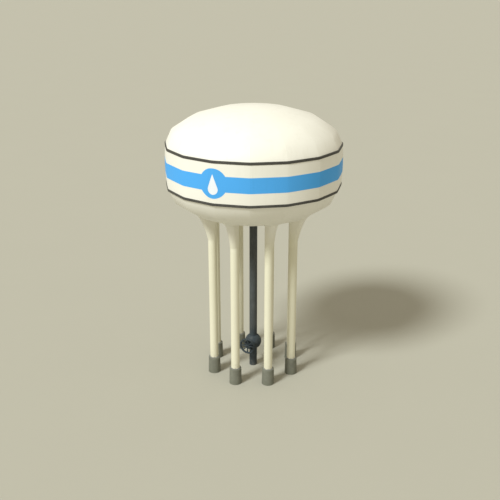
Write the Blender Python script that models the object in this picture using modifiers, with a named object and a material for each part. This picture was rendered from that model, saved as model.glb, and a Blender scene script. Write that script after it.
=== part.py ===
"""Elevated water tower: a flattened steel tank on eight columns.

The tank is sixteen-sided in plan and made of wall plates, a roof and a bowl of four
sloping courses each, with a hoop over each seam. The columns flare outward where they
meet the bowl and stand on concrete footings. A riser pipe on the axis passes through a
round valve body with a hand wheel. Metres, +Z up, ground at Z = 0, the valve faces -Y.
"""
import math

import bmesh
import bpy
from mathutils import Matrix, Vector

# Tank
TANK_RADIUS = 5.0          # to the corners of the plan
TANK_SIDES = 16
LOWER_SEAM_Z = 11.72
UPPER_SEAM_Z = 13.97
WALL_BULGE = 0.06          # how far the wall swells halfway up
END_RISE = 2.14            # height of the roof, depth of the bowl
SHELL = 0.05               # plate thickness
WALL_PLATES = 8
WALL_ROWS = 6
END_COURSES = 4            # rings of straight plates from the seam to the crown

# Hoops over the seams
HOOP_HALF_HEIGHT = 0.07
HOOP_PROUD = 0.03

# Columns and footings
COLUMNS = 8
COLUMN_CIRCLE = 2.525
COLUMN_RADIUS = 0.25
HEAD_START_Z = 8.5
HEAD_TOP_Z = 10.217        # where the flare runs out into the bowl
HEAD_REACH = 0.78          # how far the flare leans out there
HEAD_ROWS = 8
HEAD_HEIGHT_PULLS = (0.26, 0.87)   # control points of the flare's curve, as shares of its height
HEAD_LEAN_PULLS = (0.13, 0.47)     # and of its reach
FOOTING_HEIGHT = 1.0
FOOTING_BASE_RADIUS = 0.37
FOOTING_TOP_RADIUS = 0.35
FOOTING_CHAMFER = 0.03

# Riser and valve
RISER_RADIUS = 0.2325
VALVE_Z = 1.61
VALVE_RADIUS = 0.5
VALVE_ROWS = 10
BONNET_RADIUS = 0.23
BONNET_FLANGE_RADIUS = 0.28
BONNET_FLANGE_HEIGHT = 0.04
BONNET_FRONT = 0.66        # this and the next ones are distances forward of the riser's axis
STEM_BORE_END = 0.61
GLAND_FRONT = 0.71
GLAND_RADIUS = 0.11
STEM_RADIUS = 0.035
STEM_BORE_RADIUS = 0.037
STEM_BACK = 0.612          # just clear of the end of its bore
WHEEL_PLANE = 0.83         # middle of the hand wheel
WHEEL_RADIUS = 0.45        # to the middle of the rim
WHEEL_RIM = 0.06
WHEEL_SPOKES = 8
WHEEL_SPOKE_RADIUS = 0.04
HUB_RADIUS = 0.10
HUB_HALF_LENGTH = 0.05

ROUND_SIDES = 24
SPOKE_SIDES = 8
TOUCH_GAP = 0.0003         # between pieces that rest on each other
TRIM_DEPTH = 0.12          # how far a piece runs into the one that trims it
HEAD_TRIM_HEIGHT = 0.25
HEAD_TRIM_LEAN = 0.156
BODY_NAME = "water_tower"


def clear_scene():
    for obj in list(bpy.data.objects):
        bpy.data.objects.remove(obj, do_unlink=True)


def make_material(name, colour, roughness, metallic=0.0):
    material = bpy.data.materials.new(name)
    material.use_nodes = True
    shader = material.node_tree.nodes["Principled BSDF"]
    shader.inputs["Base Color"].default_value = (*colour, 1.0)
    shader.inputs["Roughness"].default_value = roughness
    shader.inputs["Metallic"].default_value = metallic
    material.diffuse_color = (*colour, 1.0)
    return material


def make_collection(name):
    collection = bpy.data.collections.new(name)
    bpy.context.scene.collection.children.link(collection)
    return collection


def add_object(name, mesh, collection, material):
    obj = bpy.data.objects.new(name, mesh)
    collection.objects.link(obj)
    if material:
        mesh.materials.append(material)
    return obj


def smooth(mesh, degrees=30):
    mesh.shade_smooth()
    mesh.set_sharp_from_angle(angle=math.radians(degrees))


def profile_mesh(name, points, closed=False):
    """Edges in the XZ plane, ready to be turned about Z."""
    count = len(points)
    edges = [(i, i + 1) for i in range(count - 1)]
    if closed:
        edges.append((count - 1, 0))
    mesh = bpy.data.meshes.new(name)
    mesh.from_pydata([(r, 0.0, z) for r, z in points], edges, [])
    return mesh


def turned(name, points, sides, collection, material, closed=False):
    """A solid turned about Z from a profile that runs down its outer side."""
    obj = add_object(name, profile_mesh(name, points, closed), collection, material)
    screw = obj.modifiers.new("turn", "SCREW")
    screw.axis = "Z"
    screw.angle = math.tau
    screw.steps = sides
    screw.render_steps = sides
    screw.use_merge_vertices = True
    screw.merge_threshold = 0.0001
    screw.use_smooth_shade = True
    return obj


def cut(obj, cutter):
    boolean = obj.modifiers.new("cut", "BOOLEAN")
    boolean.operation = "DIFFERENCE"
    boolean.solver = "EXACT"
    boolean.object = cutter


def make_cutter(obj):
    obj.hide_render = True
    obj.display_type = "WIRE"
    return obj


def end_curve(seam_z, direction, inset=0.0):
    """Corners (r, z) of the roof's or bowl's courses, which are chords of a half ellipse.

    They run from the seam to the crown, direction 1 up, -1 down.
    """
    points = []
    for course in range(END_COURSES):
        angle = math.pi / 2 * course / END_COURSES
        r = (TANK_RADIUS - inset) * math.cos(angle)
        z = seam_z + direction * (END_RISE - inset) * math.sin(angle)
        points.append((r, z))
    points.append((0.0, seam_z + direction * (END_RISE - inset)))
    return points


def first_course_radius(height):
    """Radius of the first course at a height from its seam."""
    (seam_r, _), (corner_r, corner_height) = end_curve(0.0, 1)[:2]
    return seam_r + (corner_r - seam_r) * height / corner_height


def wall_radius(z):
    share = (z - LOWER_SEAM_Z) / (UPPER_SEAM_Z - LOWER_SEAM_Z)
    return TANK_RADIUS + WALL_BULGE * 4 * share * (1 - share)


def make_roof(collection, material):
    seam = UPPER_SEAM_Z + TOUCH_GAP / 2
    outer = end_curve(seam, 1)
    inner = end_curve(seam, 1, SHELL)
    turned("tank_roof", outer[::-1] + inner, TANK_SIDES, collection, material)


def make_bowl(collection, material):
    seam = LOWER_SEAM_Z - TOUCH_GAP / 2
    outer = end_curve(seam, -1)
    inner = end_curve(seam, -1, SHELL)
    turned("tank_bowl", inner[::-1] + outer, TANK_SIDES, collection, material)


def make_bowl_cutter(collection):
    """The bowl's outside as a solid, one gap larger, to trim what carries it."""
    top = [(0.0, UPPER_SEAM_Z), (TANK_RADIUS, UPPER_SEAM_Z)]
    outer = end_curve(LOWER_SEAM_Z - TOUCH_GAP / 2, -1, -2 * TOUCH_GAP)
    return make_cutter(turned("bowl_cutter", top + outer, TANK_SIDES, collection, None))


def wall_section():
    """Closed outline (r, z) of the wall: up its outer side, down its inner side."""
    low = LOWER_SEAM_Z + TOUCH_GAP / 2
    high = UPPER_SEAM_Z - TOUCH_GAP / 2
    heights = [low, LOWER_SEAM_Z + HOOP_HALF_HEIGHT]
    for row in range(1, WALL_ROWS):
        heights.append(LOWER_SEAM_Z + (UPPER_SEAM_Z - LOWER_SEAM_Z) * row / WALL_ROWS)
    heights += [UPPER_SEAM_Z - HOOP_HALF_HEIGHT, high]
    outer = [(wall_radius(z), z) for z in heights]
    inner = [(wall_radius(z) - SHELL, z) for z in reversed(heights)]
    return outer + inner


def make_wall_plates(collection, material):
    """Curved plates, each spun over its share of the circle and centred on a column."""
    share = math.tau / WALL_PLATES
    trim = TOUCH_GAP / TANK_RADIUS
    for number in range(WALL_PLATES):
        start = -math.pi / 2 + share * (number - 0.5) + trim / 2
        bm = bmesh.new()
        section = bm.faces.new([bm.verts.new((r, 0, z)) for r, z in wall_section()])
        bmesh.ops.rotate(bm, verts=bm.verts, cent=(0, 0, 0), matrix=Matrix.Rotation(start, 3, "Z"))
        parts = [section] + list(bm.edges) + list(bm.verts)
        bmesh.ops.spin(bm, geom=parts, axis=(0, 0, 1), cent=(0, 0, 0), dvec=(0, 0, 0),
                       angle=share - trim, steps=TANK_SIDES // WALL_PLATES)
        bmesh.ops.recalc_face_normals(bm, faces=bm.faces)
        name = f"wall_plate_{number + 1}"
        mesh = bpy.data.meshes.new(name)
        bm.to_mesh(mesh)
        bm.free()
        smooth(mesh)
        add_object(name, mesh, collection, material)


def make_hoops(collection, material):
    fit = 2 * TOUCH_GAP
    proud = TANK_RADIUS + HOOP_PROUD
    for name, seam, end_direction in (("lower_hoop", LOWER_SEAM_Z, -1), ("upper_hoop", UPPER_SEAM_Z, 1)):
        end_z = seam + end_direction * HOOP_HALF_HEIGHT
        wall_z = seam - end_direction * HOOP_HALF_HEIGHT
        on_end = (first_course_radius(HOOP_HALF_HEIGHT) + fit, end_z)
        on_wall = (wall_radius(wall_z) + fit, wall_z)
        low, high = sorted((on_end, on_wall), key=lambda point: point[1])
        section = [(proud, high[1]), (proud, low[1]), low, (TANK_RADIUS + fit, seam), high]
        turned(name, section, TANK_SIDES, collection, material, closed=True)


def bezier(t, a, b, c, d):
    s = 1 - t
    return s ** 3 * a + 3 * s * s * t * b + 3 * s * t * t * c + t ** 3 * d


def head_levels():
    """(height, lean) up a column head: the lean grows slowly, then runs out along the bowl.

    The last level is inside the bowl, which trims the head.
    """
    rise = HEAD_TOP_Z - HEAD_START_Z
    levels = []
    for row in range(1, HEAD_ROWS + 1):
        t = row / HEAD_ROWS
        z = HEAD_START_Z + rise * bezier(t, 0, *HEAD_HEIGHT_PULLS, 1)
        lean = HEAD_REACH * bezier(t, 0, *HEAD_LEAN_PULLS, 1)
        levels.append((z, lean))
    levels.append((HEAD_TOP_Z + HEAD_TRIM_HEIGHT, HEAD_REACH + HEAD_TRIM_LEAN))
    return levels


def column_place(number):
    """Turn about Z and stand on the column circle; column 1 is at -Y."""
    azimuth = -math.pi / 2 + math.tau * number / COLUMNS
    return Matrix.Rotation(azimuth, 4, "Z") @ Matrix.Translation((COLUMN_CIRCLE, 0, 0))


def head_mesh():
    """A disc extruded upward while its outer half leans outward, along local +X."""
    bm = bmesh.new()
    bmesh.ops.create_circle(bm, cap_ends=True, segments=ROUND_SIDES, radius=COLUMN_RADIUS)
    bmesh.ops.translate(bm, verts=bm.verts, vec=(0, 0, HEAD_START_Z + TOUCH_GAP))
    (top,) = bm.faces
    height, lean = HEAD_START_Z + TOUCH_GAP, 0.0
    for z, reach in head_levels():
        grown = bmesh.ops.extrude_face_region(bm, geom=[top])["geom"]
        if lean > 0:                       # the first disc stays as the underside
            bmesh.ops.delete(bm, geom=[top], context="FACES_ONLY")
        (top,) = [part for part in grown if isinstance(part, bmesh.types.BMFace)]
        bmesh.ops.translate(bm, verts=top.verts, vec=(0, 0, z - height))
        outer = [v for v in top.verts if v.co.x > lean + TOUCH_GAP]
        bmesh.ops.translate(bm, verts=outer, vec=(reach - lean, 0, 0))
        height, lean = z, reach
    bmesh.ops.recalc_face_normals(bm, faces=bm.faces)
    mesh = bpy.data.meshes.new("column_head")
    bm.to_mesh(mesh)
    bm.free()
    smooth(mesh)
    return mesh


def make_columns(collection, materials, bowl_cutter):
    steel = materials["white_paint"]
    base_z = FOOTING_HEIGHT + TOUCH_GAP
    column = [(0, HEAD_START_Z), (COLUMN_RADIUS, HEAD_START_Z), (COLUMN_RADIUS, base_z), (0, base_z)]
    chamfer_z = FOOTING_HEIGHT - FOOTING_CHAMFER
    footing = [(0, FOOTING_HEIGHT), (FOOTING_TOP_RADIUS - FOOTING_CHAMFER, FOOTING_HEIGHT),
               (FOOTING_TOP_RADIUS, chamfer_z), (FOOTING_BASE_RADIUS, 0), (0, 0)]
    head = head_mesh()
    head.materials.append(steel)
    for number in range(COLUMNS):
        place = column_place(number)
        shaft = turned(f"column_{number + 1}", column, ROUND_SIDES, collection, steel)
        block = turned(f"footing_{number + 1}", footing, ROUND_SIDES, collection, materials["concrete"])
        flare = add_object(f"column_head_{number + 1}", head, collection, None)
        for obj in (shaft, block, flare):
            obj.matrix_world = place
        cut(flare, bowl_cutter)


def valve_curve(grow=0.0):
    """(r, z) down the valve body's side, from one pipe face to the other."""
    radius = VALVE_RADIUS + grow
    pipe_angle = math.asin(RISER_RADIUS / VALVE_RADIUS)
    points = []
    for row in range(VALVE_ROWS + 1):
        polar = pipe_angle + (math.pi - 2 * pipe_angle) * row / VALVE_ROWS
        points.append((radius * math.sin(polar), VALVE_Z + radius * math.cos(polar)))
    return points


def make_riser(collection, material, bowl_cutter):
    face = math.sqrt(VALVE_RADIUS ** 2 - RISER_RADIUS ** 2)
    upper_low = VALVE_Z + face + TOUCH_GAP
    lower_high = VALVE_Z - face - TOUCH_GAP
    in_bowl = LOWER_SEAM_Z - END_RISE + TRIM_DEPTH
    pipe = [(0, in_bowl), (RISER_RADIUS, in_bowl), (RISER_RADIUS, upper_low), (0, upper_low)]
    riser = turned("riser_pipe", pipe, ROUND_SIDES, collection, material)
    cut(riser, bowl_cutter)
    inlet = [(0, lower_high), (RISER_RADIUS, lower_high), (RISER_RADIUS, 0), (0, 0)]
    turned("inlet_pipe", inlet, ROUND_SIDES, collection, material)
    body = [(0, VALVE_Z + face)] + valve_curve() + [(0, VALVE_Z - face)]
    turned("valve_body", body, ROUND_SIDES, collection, material)


def face_front(obj):
    """Lay a piece turned about Z along -Y, at the valve's height."""
    obj.matrix_world = Matrix.Translation((0, 0, VALVE_Z)) @ Matrix.Rotation(math.pi / 2, 4, "X")
    return obj


def make_bonnet(collection, cutters, material):
    grown = valve_curve(2 * TOUCH_GAP)
    ball = [(0, grown[0][1])] + grown + [(0, grown[-1][1])]
    ball_cutter = make_cutter(turned("valve_cutter", ball, ROUND_SIDES, cutters, None))
    flange_back = BONNET_FRONT - BONNET_FLANGE_HEIGHT
    inside = VALVE_RADIUS - TRIM_DEPTH
    profile = [(0, STEM_BORE_END), (STEM_BORE_RADIUS, STEM_BORE_END), (STEM_BORE_RADIUS, BONNET_FRONT),
               (BONNET_FLANGE_RADIUS, BONNET_FRONT), (BONNET_FLANGE_RADIUS, flange_back),
               (BONNET_RADIUS, flange_back), (BONNET_RADIUS, inside), (0, inside)]
    bonnet = face_front(turned("valve_bonnet", profile, ROUND_SIDES, collection, material))
    cut(bonnet, ball_cutter)
    back = BONNET_FRONT + TOUCH_GAP
    ring = [(GLAND_RADIUS, GLAND_FRONT), (GLAND_RADIUS, back), (STEM_BORE_RADIUS, back),
            (STEM_BORE_RADIUS, GLAND_FRONT)]
    face_front(turned("packing_gland", ring, ROUND_SIDES, collection, material, closed=True))


def add_primitive(name, add, material, collection, **settings):
    add(**settings)
    obj = bpy.context.object
    obj.name = name
    for user in list(obj.users_collection):
        user.objects.unlink(obj)
    collection.objects.link(obj)
    obj.data.materials.append(material)
    return obj


def make_hand_wheel(collection, cutters, material):
    """Rim, spokes and hub fused into one casting, turning on the stem."""
    axle = bpy.data.objects.new("hand_wheel_axle", None)
    collection.objects.link(axle)
    axle.location = (0, -WHEEL_PLANE, VALVE_Z)
    axle.rotation_euler = (math.pi / 2, 0, 0)
    wheel = add_primitive("hand_wheel", bpy.ops.mesh.primitive_torus_add, material, collection,
                          major_segments=36, minor_segments=8,
                          major_radius=WHEEL_RADIUS, minor_radius=WHEEL_RIM)
    hub = add_primitive("wheel_hub", bpy.ops.mesh.primitive_cylinder_add, material, cutters,
                        vertices=ROUND_SIDES, radius=HUB_RADIUS, depth=2 * HUB_HALF_LENGTH)
    pieces = [hub]
    for spoke in range(WHEEL_SPOKES):
        turn = math.tau * spoke / WHEEL_SPOKES
        middle = Vector((math.cos(turn), math.sin(turn), 0)) * (WHEEL_RADIUS / 2)
        arm = add_primitive(f"wheel_spoke_{spoke + 1}", bpy.ops.mesh.primitive_cylinder_add, material,
                            cutters, vertices=SPOKE_SIDES, radius=WHEEL_SPOKE_RADIUS, depth=WHEEL_RADIUS,
                            location=middle, rotation=(0, math.pi / 2, turn))
        pieces.append(arm)
    for piece in [wheel] + pieces:
        piece.parent = axle
    for piece in pieces:
        make_cutter(piece)
        joined = wheel.modifiers.new("fuse", "BOOLEAN")
        joined.operation = "UNION"
        joined.solver = "EXACT"
        joined.object = piece
    wheel.data.shade_smooth()
    stem_front = WHEEL_PLANE - HUB_HALF_LENGTH - TOUCH_GAP
    profile = [(0, stem_front), (STEM_RADIUS, stem_front), (STEM_RADIUS, STEM_BACK), (0, STEM_BACK)]
    face_front(turned("valve_stem", profile, ROUND_SIDES, collection, material))


def main():
    clear_scene()
    materials = {
        "white_paint": make_material("white_paint", (0.87, 0.85, 0.77), 0.45),
        "dark_paint": make_material("dark_paint", (0.052, 0.05, 0.045), 0.5),
        "slate_paint": make_material("slate_paint", (0.04, 0.052, 0.062), 0.5),
        "concrete": make_material("concrete", (0.175, 0.175, 0.14), 0.9),
    }
    collection = make_collection(BODY_NAME)
    cutters = make_collection("cutters")
    bowl_cutter = make_bowl_cutter(cutters)
    make_roof(collection, materials["white_paint"])
    make_wall_plates(collection, materials["white_paint"])
    make_bowl(collection, materials["white_paint"])
    make_hoops(collection, materials["dark_paint"])
    make_columns(collection, materials, bowl_cutter)
    make_riser(collection, materials["slate_paint"], bowl_cutter)
    make_bonnet(collection, cutters, materials["slate_paint"])
    make_hand_wheel(collection, cutters, materials["slate_paint"])


main()
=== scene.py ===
"""Looks of an elevated water tower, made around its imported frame.

Laid out as an add-on: settings, one operator for each group of pieces, a panel, and a main
function that calls the operators in order. Metres, +Z up, ground at Z = 0, front at -Y.
"""
import math

import bmesh
import bpy
from bpy.props import FloatProperty, FloatVectorProperty, IntProperty, PointerProperty
from mathutils import Matrix, Vector, noise


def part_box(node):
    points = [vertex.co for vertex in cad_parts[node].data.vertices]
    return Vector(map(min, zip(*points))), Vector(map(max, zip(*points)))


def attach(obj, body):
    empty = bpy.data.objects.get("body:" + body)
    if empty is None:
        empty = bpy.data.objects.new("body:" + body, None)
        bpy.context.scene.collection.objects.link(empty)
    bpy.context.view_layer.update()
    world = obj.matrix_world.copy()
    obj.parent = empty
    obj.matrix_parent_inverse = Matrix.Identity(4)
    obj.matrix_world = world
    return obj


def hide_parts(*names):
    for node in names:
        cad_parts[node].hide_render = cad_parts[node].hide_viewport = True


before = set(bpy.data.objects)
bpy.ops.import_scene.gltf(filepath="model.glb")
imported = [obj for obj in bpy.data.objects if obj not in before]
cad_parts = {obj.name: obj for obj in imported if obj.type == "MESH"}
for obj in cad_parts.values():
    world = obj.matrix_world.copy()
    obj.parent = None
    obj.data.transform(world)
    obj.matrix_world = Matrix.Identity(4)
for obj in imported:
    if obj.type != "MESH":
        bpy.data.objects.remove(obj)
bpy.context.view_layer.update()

bl_info = {
    "name": "Water Tower",
    "version": (1, 0, 0),
    "blender": (4, 5, 0),
    "location": "3D View > Sidebar > Water Tower",
    "description": "Shells, paint, legs, footings, valve and stage of an elevated water tower",
    "category": "Add Mesh",
}

# Coats of paint on the wall: how far each stands out, and how thick its film is
PAINT_LIFT = 0.002
DROP_LIFT = 0.0035
FILM = 0.003

# Places and sizes that the frame gives
ROOF_LOW, ROOF_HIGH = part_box("tank_roof")
BOWL_LOW, BOWL_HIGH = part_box("tank_bowl")
TANK_RADIUS = ROOF_HIGH.x
UPPER_SEAM = ROOF_LOW.z
LOWER_SEAM = BOWL_HIGH.z
END_RISE = ROOF_HIGH.z - UPPER_SEAM
WALL_BULGE = -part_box("wall_plate_1")[0].y - TANK_RADIUS - DROP_LIFT
HOOP_LOW, HOOP_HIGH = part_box("lower_hoop")
HOOP_HALF_HEIGHT = (HOOP_HIGH.z - HOOP_LOW.z) / 2
HOOP_RADIUS = HOOP_HIGH.x
COLUMN_LOW, COLUMN_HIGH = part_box("column_1")
COLUMN_RADIUS = COLUMN_HIGH.x
COLUMN_CIRCLE = -(COLUMN_LOW.y + COLUMN_HIGH.y) / 2
HEAD_REACH = -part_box("column_head_1")[0].y - COLUMN_CIRCLE - COLUMN_RADIUS
HEAD_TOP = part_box("column_head_1")[1].z
FOOTING_LOW, FOOTING_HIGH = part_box("footing_1")
FOOTING_RADIUS = FOOTING_HIGH.x
FOOTING_TOP = FOOTING_HIGH.z
RISER_LOW, RISER_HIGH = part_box("riser_pipe")
RISER_RADIUS = RISER_HIGH.x
VALVE_LOW, VALVE_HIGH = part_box("valve_body")
VALVE_RADIUS = VALVE_HIGH.x
VALVE_Z = (VALVE_LOW.z + VALVE_HIGH.z) / 2
BONNET_LOW, BONNET_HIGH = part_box("valve_bonnet")
BONNET_FRONT = -BONNET_LOW.y
BONNET_FLANGE = BONNET_HIGH.x
GLAND_FRONT = -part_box("packing_gland")[0].y
GLAND_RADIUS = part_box("packing_gland")[1].x
STEM_FRONT = -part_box("valve_stem")[0].y
STEM_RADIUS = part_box("valve_stem")[1].x
WHEEL_LOW, WHEEL_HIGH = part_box("hand_wheel")
WHEEL_PLANE = -(WHEEL_LOW.y + WHEEL_HIGH.y) / 2
HUB_HALF_LENGTH = WHEEL_PLANE - STEM_FRONT
WHEEL_OUTER = WHEEL_HIGH.x

TANK_SIDES = 16
COLUMNS = 8
SECTOR = math.tau / TANK_SIDES
SECTOR_COLUMNS = 18        # mesh columns in one side of the tank, closer together at the corners
COLUMN_POWER = 2.2
TANK_COLUMNS = TANK_SIDES * SECTOR_COLUMNS
SHELL = 0.05
CORNER_ROUNDING = 0.12     # share of half a side that the rounded corner takes
END_COURSES = 4            # rings of straight plates from a seam to its crown
COURSE_ROUNDING = 0.12     # share of a course that its rounded edge takes
SEAM_SLOPE = 0.72          # shading's slope at a seam over the first course's own
WALL_SHADING = 0.6         # share of the wall's bulge that the shading hides
TOUCH = 0.0005
WELD_BEAD = ((-0.030, 0.0), (-0.011, 0.0), (-0.005, 0.002), (0.005, 0.002), (0.011, 0.0), (0.030, 0.0))


class TankSettings(bpy.types.PropertyGroup):
    facets: FloatProperty(name="Facets", description="How flat the sixteen sides are, from round to flat",
                          default=0.9, min=0, max=1, subtype="FACTOR")
    smooth_shading: FloatProperty(name="Smooth shading", description="How far the shading hides the sides",
                                  default=0.75, min=0, max=1, subtype="FACTOR")
    weld_height: FloatProperty(name="Weld height", description="Height of the weld seams between plates",
                               default=0.003, unit="LENGTH")
    crown_radius: FloatProperty(name="Crown radius", description="Radius of the round plate at each end",
                                default=1.3, unit="LENGTH")
    dome_shading: FloatProperty(name="Dome shading", description="How far the shading hides the courses",
                                default=0.92, min=0, max=1, subtype="FACTOR")
    course_rows: IntProperty(name="Course rows", description="Mesh rows on a course's straight part",
                             default=6, min=2)
    wall_rows: IntProperty(name="Wall rows", description="Mesh rows up the wall", default=18, min=4)


class PaintSettings(bpy.types.PropertyGroup):
    white: FloatVectorProperty(name="White", description="Paint of tank and legs", subtype="COLOR",
                               default=(0.86, 0.84, 0.765), min=0, max=1)
    blue: FloatVectorProperty(name="Blue", description="Paint of band and disc", subtype="COLOR",
                              default=(0.085, 0.40, 0.88), min=0, max=1)
    dark: FloatVectorProperty(name="Dark", description="Paint of the hoops", subtype="COLOR",
                              default=(0.052, 0.050, 0.045), min=0, max=1)
    slate: FloatVectorProperty(name="Slate", description="Paint of riser, valve and wheel",
                               subtype="COLOR", default=(0.036, 0.047, 0.055), min=0, max=1)
    concrete: FloatVectorProperty(name="Concrete", description="Cast concrete of the footings",
                                  subtype="COLOR", default=(0.166, 0.168, 0.134), min=0, max=1)
    band_low: FloatProperty(name="Band bottom", description="Height of the band's lower edge",
                            default=12.42, unit="LENGTH")
    band_high: FloatProperty(name="Band top", description="Height of the band's upper edge",
                             default=13.25, unit="LENGTH")
    disc_height: FloatProperty(name="Disc height", description="Height of the blue disc's middle",
                               default=12.84, unit="LENGTH")
    disc_radius: FloatProperty(name="Disc radius", description="Radius of the blue disc", default=0.80,
                               unit="LENGTH")
    emblem_white: FloatVectorProperty(name="Emblem white", description="Paint of the drop",
                                      subtype="COLOR", default=(0.83, 0.865, 0.935), min=0, max=1)
    drop_low: FloatProperty(name="Drop bottom", description="Height of the drop's round end",
                            default=12.255, unit="LENGTH")
    drop_high: FloatProperty(name="Drop tip", description="Height of the drop's tip", default=13.35,
                             unit="LENGTH")
    drop_width: FloatProperty(name="Drop width", description="Widest part of the drop", default=0.565,
                              unit="LENGTH")


class SupportSettings(bpy.types.PropertyGroup):
    leg_sides: IntProperty(name="Leg sides", description="Mesh columns round a leg", default=64, min=12)
    head_rows: IntProperty(name="Head rows", description="Mesh rows up a flared head", default=20, min=4)
    fillet: FloatProperty(name="Fillet", description="Radius where a leg runs into the bowl",
                          default=0.12, unit="LENGTH")
    fillet_rows: IntProperty(name="Fillet rows", description="Mesh rows in the fillet", default=6, min=2)
    plate_height: FloatProperty(name="Base plate", description="Thickness of a base plate",
                                default=0.022, unit="LENGTH")
    plate_radius: FloatProperty(name="Plate radius", description="Radius of a base plate",
                                default=0.305, unit="LENGTH")
    bolts: IntProperty(name="Anchor bolts", description="Anchor bolts on one base plate", default=8, min=3)


class ValveSettings(bpy.types.PropertyGroup):
    sides: IntProperty(name="Sides", description="Mesh columns round pipes and valve", default=64, min=12)
    neck: FloatProperty(name="Neck", description="Radius of the bonnet behind its flange", default=0.228,
                        unit="LENGTH")
    flange: FloatProperty(name="Flange", description="Thickness of the bonnet's flange", default=0.04,
                          unit="LENGTH")
    spokes: IntProperty(name="Spokes", description="Spokes of the hand wheel", default=8, min=3)
    rim: FloatProperty(name="Rim", description="Radius of the hand wheel's rim bar", default=0.059,
                       unit="LENGTH")
    hub: FloatProperty(name="Hub", description="Radius of the hand wheel's hub", default=0.098,
                       unit="LENGTH")
    flange_bolts: IntProperty(name="Bonnet bolts", description="Bolts round the bonnet", default=8, min=4)


class StageSettings(bpy.types.PropertyGroup):
    azimuth: FloatProperty(name="Azimuth", description="Camera turn from the front",
                           default=math.radians(24.9), subtype="ANGLE")
    elevation: FloatProperty(name="Elevation", description="Camera height above the horizon",
                             default=math.radians(20), subtype="ANGLE")
    distance: FloatProperty(name="Distance", description="Camera to its target", default=44.17,
                            unit="LENGTH")
    target_height: FloatProperty(name="Target height", description="Height the camera looks at",
                                 default=7.575, unit="LENGTH")
    target_side: FloatProperty(name="Target side", description="Target's shift along the picture",
                               default=-0.20, unit="LENGTH")
    lens: FloatProperty(name="Lens", description="Focal length in millimetres on a 36 mm sensor",
                        default=53.66)
    floor: FloatVectorProperty(name="Floor", description="Colour of the floor", subtype="COLOR",
                               default=(0.425, 0.41, 0.345), min=0, max=1)
    room: FloatVectorProperty(name="Room", description="Colour of the light from all round",
                              subtype="COLOR", default=(0.58, 0.54, 0.44), min=0, max=1)
    key_left: FloatProperty(name="Key left", description="How far left of the camera the key light is",
                            default=math.radians(45.5), subtype="ANGLE")
    key_elevation: FloatProperty(name="Key elevation", description="Key light above the horizon",
                                 default=math.radians(46), subtype="ANGLE")
    key_softness: FloatProperty(name="Key softness", description="Apparent size of the key light",
                                default=math.radians(14), subtype="ANGLE")
    key_strength: FloatProperty(name="Key strength", description="Strength of the key light", default=3.1)
    key_colour: FloatVectorProperty(name="Key colour", description="Colour of the key light",
                                    subtype="COLOR", default=(0.955, 1.0, 0.995), min=0, max=1)


class WaterTowerSettings(bpy.types.PropertyGroup):
    tank: PointerProperty(name="Tank", description="Shells of the tank", type=TankSettings)
    paint: PointerProperty(name="Paint", description="Colours, band and emblem", type=PaintSettings)
    support: PointerProperty(name="Support", description="Legs and base plates", type=SupportSettings)
    valve: PointerProperty(name="Valve", description="Riser, valve and hand wheel", type=ValveSettings)
    stage: PointerProperty(name="Stage", description="Camera and floor", type=StageSettings)


def settings():
    return bpy.context.scene.water_tower


# Shader building

class Signal:
    """A number in a material. Arithmetic on it adds Math nodes."""

    def __init__(self, web, socket):
        self.web = web
        self.socket = socket

    def math(self, operation, *others):
        values = [self] + list(others)
        node = self.web.add("ShaderNodeMath", {"operation": operation}, dict(enumerate(values)))
        return Signal(self.web, node.outputs[0])

    def __add__(self, other):
        return self.math("ADD", other)

    def __sub__(self, other):
        return self.math("SUBTRACT", other)

    def __rsub__(self, other):
        node = self.web.add("ShaderNodeMath", {"operation": "SUBTRACT"}, {0: other, 1: self})
        return Signal(self.web, node.outputs[0])

    def __mul__(self, other):
        return self.math("MULTIPLY", other)

    def __truediv__(self, other):
        return self.math("DIVIDE", other)

    __radd__ = __add__
    __rmul__ = __mul__

    def ramp(self, low, high):
        """0 below low, 1 above high, smooth between; low may be the larger one."""
        node = self.web.add("ShaderNodeMapRange", {"interpolation_type": "SMOOTHSTEP"},
                            {"Value": self, "From Min": low, "From Max": high})
        return Signal(self.web, node.outputs["Result"])


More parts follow.
